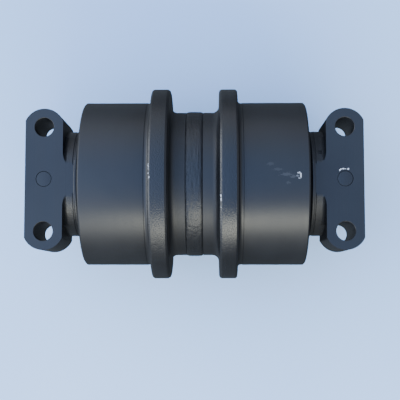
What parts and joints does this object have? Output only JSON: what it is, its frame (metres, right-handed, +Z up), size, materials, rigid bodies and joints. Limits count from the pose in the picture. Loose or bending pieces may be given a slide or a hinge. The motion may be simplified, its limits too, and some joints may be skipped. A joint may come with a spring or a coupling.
{
  "type": "track roller",
  "caption": "Lower track roller of a crawler excavator: a flanged steel shell turning on a fixed shaft between two bolt-on end collars, with face seals inside.",
  "frame": {"origin": "the middle of the roller on its turning axis, halfway between the collars' outer faces", "axes": "+X the way the machine travels, +Y along the shaft to the machine's left, +Z up, square to the collars' mounting faces"},
  "size_m": [0.1808, 0.31, 0.1808],
  "materials": {
    "black_paint": "satin black paint over machined and forged steel",
    "shaft_steel": "turned and ground",
    "bush_bronze": "machined bronze",
    "seal_iron": "lapped faces",
    "rubber": "moulded",
    "copper": "soft copper"
  },
  "bodies": {
    "axle": {"shaft": "shaft_steel", "collar_left": "black_paint", "collar_right": "black_paint", "lock_pin_left": "black_paint", "lock_pin_right": "black_paint", "seal_ring_collar_left": "seal_iron", "seal_ring_collar_right": "seal_iron", "toric_ring_collar_left": "rubber", "toric_ring_collar_right": "rubber", "shaft_oring_left": "rubber", "shaft_oring_right": "rubber", "filler_plug": "black_paint", "plug_washer": "copper"},
    "roller": {"shell_half_left": "black_paint", "shell_half_right": "black_paint", "weld_bead": "black_paint", "bush_left": "bush_bronze", "bush_right": "bush_bronze", "seal_ring_shell_left": "seal_iron", "seal_ring_shell_right": "seal_iron", "toric_ring_shell_left": "rubber", "toric_ring_shell_right": "rubber"}
  },
  "joints": [
    {"name": "roller_spin", "type": "hinge", "parent": "axle", "child": "roller", "pos_m": [0, 0, 0], "axis": [0, 1, 0], "continuous": true}
  ]
}
